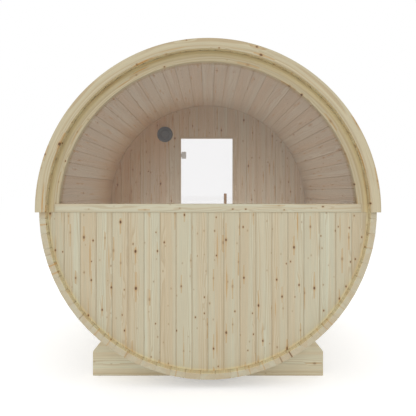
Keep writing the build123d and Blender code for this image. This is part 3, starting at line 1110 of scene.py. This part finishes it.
@dataclass
class Roof:
    """Lengthwise boards over the upper half."""

    barrel: Barrel
    foot: float = 1.1368
    thickness: float = 0.016
    drop: float = 0.009
    count: int = 34
    ease: float = 0.003

    def build(self, palette: Palette) -> None:
        """Makes one piece for each quarter of the roof."""
        barrel = self.barrel
        outer_flat = self.foot + self.thickness
        span = math.pi + 2 * self.drop / outer_flat
        pitch = span / self.count
        inner = self.foot * math.tan(pitch / 2)
        outer = outer_flat * math.tan(pitch / 2)
        corners = np.array([[-inner, 0.0], [inner, 0.0], [outer, self.thickness], [-outer, self.thickness]])
        sections, along = run(eased(corners, self.ease), -barrel.half_length, barrel.half_length, self.ease)
        grain = log_place(sections, along)
        quarter, middle = self.count // 4, self.count // 2
        spans = {
            "roof_left_lower": (0, middle - quarter),
            "roof_left_upper": (middle - quarter, middle),
            "roof_right_upper": (middle, middle + quarter),
            "roof_right_lower": (middle + quarter, self.count),
        }
        for seed, (node, (first, last)) in enumerate(spans.items()):
            stock = Stock(node.replace("roof", "roof_boards"), 200 + seed)
            for number in range(first, last):
                angle = (number + 0.5) * pitch - span / 2
                stock.loft(radial_place(barrel, angle, sections, along, self.foot), grain, stock.board())
            stock.build(palette, Finish.ROOF, CABIN_BODY, (node,))


def arch(barrel: Barrel, section: np.ndarray, ends: np.ndarray, steps: int) -> tuple[np.ndarray, np.ndarray]:
    """A board bent round the axis, as a grid of turns along the arch and points of its section.

    A point of the section at radius r and y lies at x = r sin t, z = axis + r cos t. The turn t runs
    evenly from minus to plus the end turn of its own radius, so a level cut stays level.

    Args:
        barrel: The shared sizes.
        section: Points as radius and y.
        ends: The end turn of each point of the section.
        steps: How many spans the arch has.

    Returns:
        The points, and their places in the log: across, along and through.
    """
    share = np.linspace(-1, 1, steps + 1)[:, None]
    turn = share * ends[None, :]
    radius = np.broadcast_to(section[None, :, 0], turn.shape)
    y = np.broadcast_to(section[None, :, 1], turn.shape)
    points = np.stack([radius * np.sin(turn), y, barrel.axis + radius * np.cos(turn)], axis=-1)
    middle = section[:, 0].mean()
    grain = np.stack([radius - middle, turn * middle, np.abs(y) - np.abs(y).min()], axis=-1)
    return points, grain


@dataclass
class Fascias:
    """The arch boards over both ends."""

    barrel: Barrel
    inner: float = 1.084
    outer: float = 1.15404
    drop: float = 0.009
    ease: float = 0.003
    steps: int = 120

    def build(self, palette: Palette) -> None:
        """Makes the two fascias."""
        for seed, (node, side) in enumerate((("fascia_window_end", -1), ("fascia_door_end", 1))):
            near = side * self.barrel.half_length
            far = near + side * self.barrel.fascia_thickness
            section = eased(rectangle(self.inner, self.outer, min(near, far), max(near, far)), self.ease)
            ends = math.pi / 2 + np.arcsin(self.drop / section[:, 0])
            points, grain = arch(self.barrel, section, ends, self.steps)
            stock = Stock(node.replace("fascia", "fascia_arch"), 300 + seed)
            stock.loft(points, grain, stock.board(0.5))
            stock.build(palette, Finish.FASCIA, CABIN_BODY, (node,))


def column_slab(x: np.ndarray, low: np.ndarray, high: np.ndarray, front: float, back: float,
                inset: np.ndarray, ease: float) -> np.ndarray:
    """A board between two y planes whose lower and upper ends may follow a curve.

    The board is a row of upright sections along x. Each is a rectangle with its corners taken off, drawn
    in from both faces by its own inset, so that a board can thin out towards its joints.

    Args:
        x: Where the sections stand.
        low: The lower end at each section.
        high: The upper end at each section.
        front: The lower y.
        back: The higher y.
        inset: How far each section is drawn in.
        ease: How much the other arrises are eased.

    Returns:
        The points as section, point, x y z.
    """
    y_low, y_high = front + inset, back - inset
    cut = np.minimum(ease, (high - low) * 0.2)
    y_in, y_out = y_low + cut, y_high - cut
    y = np.stack([y_in, y_out, y_high, y_high, y_out, y_in, y_low, y_low], axis=1)
    z = np.stack([low, low, low + cut, high - cut, high, high, high - cut, low + cut], axis=1)
    return np.stack([np.broadcast_to(x[:, None], y.shape), y, z], axis=-1)


def end_inset(count: int, ease: float) -> np.ndarray:
    """Insets that ease only a slab's two ends."""
    inset = np.zeros(count)
    inset[[0, -1]] = ease
    return inset


def circle_height(radius: float, x: np.ndarray) -> np.ndarray:
    """Half the height of a circle's chord at x."""
    return np.sqrt(np.maximum(radius * radius - x * x, 0.0))


@dataclass
class BoardWall:
    """A wall of upright boards inside the barrel, between two x and two z values."""

    barrel: Barrel
    name: str
    node: str
    front: float
    back: float
    x_low: float
    x_high: float
    z_low: float | None
    z_high: float | None
    seed: int
    hole: tuple[float, float, float] | None = None
    ease: float = 0.0012
    shortest: float = 0.012

    def parts(self, x: np.ndarray, inset: np.ndarray, low: np.ndarray, high: np.ndarray) -> list[tuple]:
        """Parts a board round the wall's round hole, where it has one.

        Beside the hole the board keeps its height. Across it the board is a lower and an upper part,
        which end half the hole's chord below and above the hole's middle.

        Args:
            x: Where the board's sections stand.
            inset: How far each is drawn in.
            low: The lower end at each section.
            high: The upper end at each section.

        Returns:
            The sections, insets and ends of each part.
        """
        if self.hole is None or x[-1] <= self.hole[0] - self.hole[2] or x[0] >= self.hole[0] + self.hole[2]:
            return [(x, inset, low, high)]
        middle, height, radius = self.hole
        round_hole = middle + radius * np.cos(np.linspace(math.pi, 0.0, 25))
        places = np.union1d(x, round_hole[(round_hole > x[0]) & (round_hole < x[-1])])
        inset, low, high = (np.interp(places, x, values) for values in (inset, low, high))
        chord = circle_height(radius, places - middle)
        before, after = places <= middle - radius + 1e-6, places >= middle + radius - 1e-6
        across = ~(before | after) | (np.abs(np.abs(places - middle) - radius) < 1e-6)
        found = ((across, low, height - chord), (across, height + chord, high),
                 (before, low, high), (after, low, high))
        return [(places[kept], inset[kept], lower[kept], upper[kept])
                for kept, lower, upper in found if np.count_nonzero(kept) > 1]

    def build(self, palette: Palette) -> None:
        """Makes the wall: each board is clipped by the circle, by the edges given and by the hole."""
        barrel = self.barrel
        stock = Stock(self.name, self.seed)
        first = math.floor(self.x_low / barrel.board_pitch)
        last = math.ceil(self.x_high / barrel.board_pitch)
        joints = np.arange(first, last + 1) * barrel.board_pitch
        joints = joints[(joints > self.x_low + self.shortest) & (joints < self.x_high - self.shortest)]
        edges = np.concatenate([[self.x_low], joints, [self.x_high]])
        tones = np.random.default_rng(7).permutation(np.linspace(0, 1, 24))
        for left, right in zip(edges[:-1], edges[1:]):
            number = math.floor((left + right) / 2 / barrel.board_pitch)
            x, inset = barrel.joint.columns(left, right)
            reach = circle_height(barrel.wall_radius, x)
            low = barrel.axis - reach if self.z_low is None else np.full(len(x), self.z_low)
            high = barrel.axis + reach if self.z_high is None else np.full(len(x), self.z_high)
            high = np.maximum(high, low + 0.001)
            middle = (left + right) / 2
            board = stock.board(float(tones[number % 24]))
            for part in self.parts(x, inset, low, high):
                points = column_slab(part[0], part[2], part[3], self.front, self.back, part[1], self.ease)
                grain = (points - (middle, self.front, 0.0))[..., [0, 2, 1]]
                stock.loft(points, grain, board)
        stock.build(palette, Finish.WALL, CABIN_BODY, (self.node,))


@dataclass
class WindowEnd:
    """The lower wall, sill rail, window arch, pane and retainer of the window end."""

    barrel: Barrel
    drop: float = 0.012
    rail_height: float = 0.058
    rail_proud: float = 0.006
    rail_half: float = 1.042
    arch_width: float = 0.0745
    retainer_width: float = 0.0515
    retainer_low: float = -1.05
    retainer_high: float = -1.025
    bar_drop: float = 0.06
    bar_below_rail: float = 0.006
    bar_ends: tuple[float, int] = (0.001, 12)
    foot_gap: float = 0.0003
    foot_ease: float = 0.001
    ease: float = 0.003
    steps: int = 112

    @property
    def rail_bottom(self) -> float:
        """The height of the rail's underside."""
        return self.barrel.axis - self.drop

    @property
    def rail_top(self) -> float:
        """The height of the rail's top."""
        return self.rail_bottom + self.rail_height

    def level_ends(self, radius: np.ndarray, height: float) -> np.ndarray:
        """The turns at which an arch of each radius comes down to a level."""
        return np.arccos(np.clip((height - self.barrel.axis) / radius, -1, 1))

    def rail(self, palette: Palette) -> None:
        """The rail, a straight board along x."""
        stock = Stock("sill_rail_board", 401)
        low = (-self.rail_half, -self.barrel.wall_outer - self.rail_proud, self.rail_bottom)
        high = (self.rail_half, -self.barrel.wall_inner, self.rail_top)
        stock.straight(low, high, 0, self.ease, self.bar_ends, stock.board(0.55))
        stock.build(palette, Finish.FRAME, CABIN_BODY, ("sill_rail",))

    def window_arch(self, palette: Palette) -> None:
        """The arch, cut level on the rail, with its outer part running down beside the rail's ends."""
        barrel = self.barrel
        inner = barrel.wall_radius - self.arch_width
        corners = rectangle(inner, barrel.wall_radius, -barrel.wall_outer, -barrel.wall_inner)
        section = eased(corners, self.ease)
        points, grain = arch(barrel, section, self.level_ends(section[:, 0], self.rail_top), self.steps)
        stock = Stock("window_arch_board", 402)
        board = stock.board(0.6)
        stock.loft(points, grain, board)
        middle = section[:, 0].mean()
        for side in (-1, 1):
            z = np.linspace(self.rail_bottom, self.rail_top, 3)
            outer = circle_height(barrel.wall_radius, z - barrel.axis)
            rows = []
            for height, far in zip(z, outer):
                corners = rectangle(self.rail_half + self.foot_gap, float(far),
                                    -barrel.wall_outer, -barrel.wall_inner)
                near = eased(corners, self.foot_ease)
                rows.append(np.stack([side * near[:, 0], near[:, 1], np.full(len(near), height)], axis=-1))
            foot = np.stack(rows)
            turn = side * (math.pi / 2 - (foot[..., 2] - barrel.axis) / middle)
            depth = np.abs(foot[..., 1]) - barrel.wall_inner
            foot_grain = np.stack([np.abs(foot[..., 0]) - middle, turn * middle, depth], axis=-1)
            stock.loft(foot, foot_grain, board)
        stock.build(palette, Finish.FASCIA, CABIN_BODY, ("window_arch",))

    def retainer(self, palette: Palette) -> None:
        """The inner arch and bar behind the pane."""
        barrel = self.barrel
        stock = Stock("window_retainer_boards", 403)
        inner = barrel.wall_radius - self.retainer_width
        bar_top = self.rail_top - self.bar_below_rail
        corners = rectangle(inner, barrel.wall_radius, self.retainer_low, self.retainer_high)
        section = eased(corners, self.ease)
        points, grain = arch(barrel, section, self.level_ends(section[:, 0], bar_top), self.steps)
        stock.loft(points, grain, stock.board(0.6))
        half = circle_height(barrel.wall_radius, np.array([self.bar_drop]))[0] - 0.001
        low = (-half, self.retainer_low, barrel.axis - self.bar_drop)
        high = (half, self.retainer_high, bar_top)
        stock.straight(low, high, 0, self.ease, self.bar_ends, stock.board(0.4),
                       (-half, self.retainer_low, barrel.axis))
        stock.build(palette, Finish.FRAME, CABIN_BODY, ("window_retainer",))

    def build(self, palette: Palette) -> None:
        """Makes every piece of the window end."""
        barrel = self.barrel
        BoardWall(barrel, "lower_wall_boards", "lower_wall", -barrel.wall_outer, -barrel.wall_inner,
                  -barrel.wall_edge, barrel.wall_edge, None, self.rail_bottom, 400).build(palette)
        self.rail(palette)
        self.window_arch(palette)
        self.retainer(palette)
        palette.dress(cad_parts["window_glass"], Finish.WINDOW_GLASS)


@dataclass
class DoorEnd:
    """The boarded wall, stop frame, glass door and vent of the door end."""

    barrel: Barrel
    left: float = -0.305
    right: float = 0.277
    top: float = 0.723
    bottom: float = -0.927
    stop_width: float = 0.017
    stop_depth: float = 0.02
    ease: float = 0.0015
    handle_depth: float = 0.026
    vent_hole: float = 0.0623
    vent_bore: float = 0.059
    gasket_width: float = 0.005
    gasket_bite: float = 0.0004
    gasket_depth: float = 0.002
    gasket_seat: float = 0.0012
    gasket_turns: int = 64

    def vent_middle(self) -> tuple[float, float]:
        """Gives the x and z of the vent's middle line."""
        low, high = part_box("vent_valve")
        return (low.x + high.x) / 2, (low.z + high.z) / 2

    def vent_gasket(self, palette: Palette) -> None:
        """The dark ring between the vent's tube and its closed plate, so that no light passes."""
        across, up = self.vent_middle()
        near = self.barrel.wall_inner - self.gasket_seat
        inner, outer = self.vent_bore - self.gasket_width, self.vent_bore + self.gasket_bite
        section = rectangle(inner, outer, near, near + self.gasket_depth)
        turn = np.linspace(0, 2 * math.pi, self.gasket_turns, endpoint=False)[:, None]
        points = np.stack([across + np.cos(turn) * section[:, 0],
                           np.broadcast_to(section[:, 1], (len(turn), len(section))),
                           up + np.sin(turn) * section[:, 0]], axis=-1)
        stock = Stock("vent_gasket", 530)
        stock.loft(points, points, stock.board(), closed=True)
        stock.build(palette, Finish.VENT, CABIN_BODY, ())

    def walls(self, palette: Palette) -> None:
        """The four parts of the wall round the doorway."""
        barrel = self.barrel
        edge = barrel.wall_edge
        left, right = self.left - self.stop_width, self.right + self.stop_width
        top, bottom = barrel.axis + self.top + self.stop_width, barrel.axis + self.bottom - self.stop_width
        spans = (
            ("door_wall_left", -edge, left, None, None),
            ("door_wall_right", right, edge, None, None),
            ("door_wall_over", left, right, top, None),
            ("door_wall_under", left, right, None, bottom),
        )
        hole = (*self.vent_middle(), self.vent_hole)
        for seed, (node, x_low, x_high, z_low, z_high) in enumerate(spans):
            BoardWall(barrel, f"{node}_boards", node, barrel.wall_inner, barrel.wall_outer,
                      x_low, x_high, z_low, z_high, 500 + seed, hole).build(palette)

    def stop_frame(self, palette: Palette) -> None:
        """Four narrow boards inside the doorway."""
        barrel = self.barrel
        stock = Stock("door_stop_boards", 510)
        near, far = barrel.wall_inner, barrel.wall_inner + self.stop_depth
        z_low, z_high = barrel.axis + self.bottom, barrel.axis + self.top
        width = self.stop_width
        for x in (self.left - width, self.right):
            stock.straight((x, near, z_low - width), (x + width, far, z_high + width), 2,
                           self.ease, (self.ease, 6), stock.board())
        for z in (z_low - width, z_high):
            stock.straight((self.left, near, z), (self.right, far, z + width), 0,
                           self.ease, (0.0005, 4), stock.board())
        stock.build(palette, Finish.FRAME, CABIN_BODY, ("door_stop_frame",))

    def build(self, palette: Palette) -> None:
        """Makes every piece of the door end."""
        self.walls(palette)
        self.stop_frame(palette)
        for node, finish in (
            ("door_glass", Finish.DOOR_GLASS),
            ("door_hinge_leaves", Finish.HINGE),
            ("door_hinge_brackets", Finish.HINGE),
            ("door_handle_standoffs", Finish.HINGE),
            ("vent_valve", Finish.VENT),
        ):
            palette.dress(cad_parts[node], finish)
        self.vent_gasket(palette)
        self.handle(palette)

    def handle(self, palette: Palette) -> None:
        """The two upright wooden bars of the handle, with well rounded edges."""
        low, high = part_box("door_handle")
        stock = Stock("door_handle_bars", 520)
        for near in (low.y, high.y - self.handle_depth):
            stock.straight((low.x, near, low.z), (high.x, near + self.handle_depth, high.z), 2,
                           0.007, (0.003, 6), stock.board(0.5))
        stock.build(palette, Finish.HANDLE, DOOR_BODY, ("door_handle",), 40.0)


@dataclass
class Floor:
    """Floor boards on round-bottomed bearers."""

    barrel: Barrel
    top: float = 0.255
    width: float = 0.104
    gap: float = 0.006
    thickness: float = 0.028
    count: int = 9
    bearer_width: float = 0.06
    bearers: int = 3
    ease: float = 0.002

    def build(self, palette: Palette) -> None:
        """Makes the boards and the bearers."""
        low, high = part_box("floor_boards")
        stock = Stock("floor_deck_boards", 600)
        for number in range(self.count):
            x = low.x + number * (self.width + self.gap)
            stock.straight((x, low.y, self.top - self.thickness), (x + self.width, high.y, self.top), 1,
                           self.ease, (self.ease, 6), stock.board(), (x, 0.0, self.top))
        stock.build(palette, Finish.FLOOR, CABIN_BODY, ("floor_boards",))
        self.cross_bearers(palette)

    def cross_bearers(self, palette: Palette) -> None:
        """The bearers, slabs whose underside follows the barrel."""
        low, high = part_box("floor_bearers")
        stock = Stock("floor_cross_bearers", 601)
        top = self.top - self.thickness
        x = np.linspace(low.x, high.x, 25)
        under = self.barrel.axis - circle_height(self.barrel.wall_radius, x)
        above = np.maximum(np.full(len(x), top), under + 0.0005)
        half = self.bearer_width / 2
        for middle in np.linspace(low.y + half, high.y - half, self.bearers):
            front, back = middle - half, middle + half
            points = column_slab(x, under, above, front, back, end_inset(len(x), 0.001), self.ease)
            stock.loft(points, (points - (0.0, front, 0.0))[..., [2, 0, 1]], stock.board())
        stock.build(palette, Finish.FLOOR, CABIN_BODY, ("floor_bearers",))


@dataclass
class Cradles:
    """The two cross beams that the barrel lies in."""

    barrel: Barrel
    half: float = 0.828
    side: float = 0.175
    seat_gap: float = 0.0003
    ease: float = 0.004

    def build(self, palette: Palette) -> None:
        """Makes a slab for each cradle: upright sides, shoulders that point at the axis, a round seat."""
        barrel = self.barrel
        seat = barrel.radius + self.seat_gap
        shoulder = math.atan2(self.half, barrel.axis - self.side)
        lip = seat * math.sin(shoulder)
        slope = (barrel.axis - seat * math.cos(shoulder) - self.side) / (self.half - lip)
        right = np.concatenate([np.linspace(lip, self.half - 0.002, 4), [self.half]])
        x = np.concatenate([-right[::-1], np.linspace(-lip, lip, 49)[1:-1], right])
        shoulder_z = self.side + (self.half - np.abs(x)) * slope
        high = np.where(np.abs(x) >= lip - 1e-9, shoulder_z, barrel.axis - circle_height(seat, x))
        for seed, node in enumerate(("cradle_window_end", "cradle_door_end")):
            low_corner, high_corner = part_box(node)
            inset = end_inset(len(x), 0.002)
            points = column_slab(x, np.zeros(len(x)), high, low_corner.y, high_corner.y, inset, self.ease)
            grain = (points - (0.0, low_corner.y, 0.1))[..., [2, 0, 1]]
            stock = Stock(f"{node}_beam", 700 + seed)
            stock.loft(points, grain, stock.board(0.45))
            stock.build(palette, Finish.CRADLE, CABIN_BODY, (node,))


@dataclass
class Bands:
    """Steel bands round the staves."""

    barrel: Barrel

    def build(self, palette: Palette) -> None:
        """Dresses the bands."""
        palette.dress(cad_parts["tension_bands"], Finish.BAND)


@dataclass
class Studio:
    """The pale floor, the white surroundings, the lamps and the camera."""

    barrel: Barrel
    image_width: int = 416
    sensor: float = 36.0
    focal_pixels: float = 481.1
    eye_height: float = 1.332
    eye_distance: float = 3.23
    horizon_pixel: float = 190.5
    floor_half: float = 60.0
    floor_colour: tuple = (0.82, 0.82, 0.82, 1.0)
    glow_near: float = 0.38
    glow_far: float = 0.18
    glow_fade: tuple[float, float] = (3.0, 9.0)
    daylight: float = 0.96
    sun_strength: float = 0.54
    sun_width: float = 22.0
    sun_elevation: float = 15.0
    sun_turn: float = 7.0
    cabin_power: float = 10.9
    cabin_lamp_height: float = 0.86
    cabin_lamp_size: float = 1.9

    def camera(self) -> None:
        """The camera looks level along the barrel. The lens is shifted down, as the picture is framed."""
        data = bpy.data.cameras.new("camera")
        data.sensor_width = self.sensor
        data.lens = self.focal_pixels / self.image_width * self.sensor
        data.shift_y = (self.horizon_pixel - self.image_width / 2) / self.image_width
        eye = bpy.data.objects.new("camera", data)
        eye.location = (0.0, -self.barrel.half_length - self.eye_distance, self.eye_height)
        eye.rotation_euler = (math.pi / 2, 0.0, 0.0)
        bpy.context.scene.collection.objects.link(eye)
        bpy.context.scene.camera = eye

    def seen(self, graph: Graph) -> object:
        """A mask that is 1 for what the eye sees directly, in a gloss or through glass."""
        path = graph.node("ShaderNodeLightPath")
        share = graph.math("MAXIMUM", path.outputs["Is Camera Ray"], path.outputs["Is Glossy Ray"])
        return graph.math("MAXIMUM", share, path.outputs["Is Transmission Ray"])

    def world(self) -> None:
        """White surroundings that light the object at their own lower strength."""
        world = bpy.data.worlds.new("surroundings")
        bpy.context.scene.world = world
        world.use_nodes = True
        world.node_tree.nodes.clear()
        graph = Graph(world.node_tree)
        strength = graph.node("ShaderNodeMapRange")
        graph.put(strength.inputs["Value"], self.seen(graph))
        graph.put(strength.inputs["To Min"], self.daylight)
        graph.put(strength.inputs["To Max"], 1.0)
        light = graph.node("ShaderNodeBackground")
        graph.put(light.inputs["Color"], (1.0, 1.0, 1.0, 1.0))
        graph.put(light.inputs["Strength"], strength.outputs["Result"])
        output = graph.node("ShaderNodeOutputWorld")
        graph.put(output.inputs["Surface"], light.outputs["Background"])

    def floor(self) -> None:
        """A wide pale floor that keeps the shadow and fades to white away from it."""
        half = self.floor_half
        mesh = bpy.data.meshes.new("studio_floor")
        corners = [(-half, -half, 0), (half, -half, 0), (half, half, 0), (-half, half, 0)]
        mesh.from_pydata(corners, [], [(0, 1, 2, 3)])
        floor = bpy.data.objects.new("studio_floor", mesh)
        bpy.context.scene.collection.objects.link(floor)
        material, graph, shader, output = new_material("studio_floor")
        shader.inputs["Base Color"].default_value = self.floor_colour
        shader.inputs["Roughness"].default_value = 0.9
        shader.inputs["Specular IOR Level"].default_value = 0.0
        glow = graph.node("ShaderNodeEmission")
        far = graph.step(graph.split(graph.place())[1], *self.glow_fade)
        strength = graph.scaled(far, self.glow_far - self.glow_near, self.glow_near)
        graph.put(glow.inputs["Strength"], graph.math("MULTIPLY", self.seen(graph), strength))
        both = graph.node("ShaderNodeAddShader")
        graph.put(both.inputs[0], shader.outputs["BSDF"])
        graph.put(both.inputs[1], glow.outputs["Emission"])
        graph.put(output.inputs["Surface"], both.outputs["Shader"])
        floor.data.materials.append(material)

    def lamp(self, data: bpy.types.Light, place: tuple, elevation: float, turn: float) -> None:
        """Adds one soft lamp that the eye doesn't see.

        Args:
            data: The light with its strength and size.
            place: Where it stands.
            elevation: How far above the level its light comes from, in degrees.
            turn: How far its light comes from the left of straight ahead, in degrees.
        """
        lamp = bpy.data.objects.new(data.name, data)
        lamp.rotation_euler = (math.radians(90 - elevation), 0.0, math.radians(-turn))
        lamp.location = place
        lamp.visible_camera = False
        lamp.visible_glossy = False
        lamp.visible_transmission = False
        bpy.context.scene.collection.objects.link(lamp)

    def lamps(self) -> None:
        """A soft far lamp in front, above and to the left, and a square lamp that shines up in the cabin."""
        sun = bpy.data.lights.new("front_lamp", "SUN")
        sun.energy = self.sun_strength
        sun.angle = math.radians(self.sun_width)
        self.lamp(sun, (0.0, -6.0, 4.0), self.sun_elevation, self.sun_turn)
        fill = bpy.data.lights.new("cabin_lamp", "AREA")
        fill.size = self.cabin_lamp_size
        fill.energy = self.cabin_power
        self.lamp(fill, (0.0, 0.0, self.cabin_lamp_height), -90.0, 0.0)

    def build(self) -> None:
        """Sets up the studio."""
        self.camera()
        self.world()
        self.floor()
        self.lamps()
        bpy.context.scene.view_settings.view_transform = "Standard"


def main() -> None:
    """Builds every sub-assembly in order."""
    logging.basicConfig(level=logging.INFO, format="%(message)s")
    barrel = Barrel()
    Studio(barrel).build()
    palette = Palette(barrel)
    Shell(barrel).build(palette)
    Roof(barrel).build(palette)
    Fascias(barrel).build(palette)
    Bands(barrel).build(palette)
    Cradles(barrel).build(palette)
    WindowEnd(barrel).build(palette)
    DoorEnd(barrel).build(palette)
    Floor(barrel).build(palette)


if __name__ == "__main__":
    main()
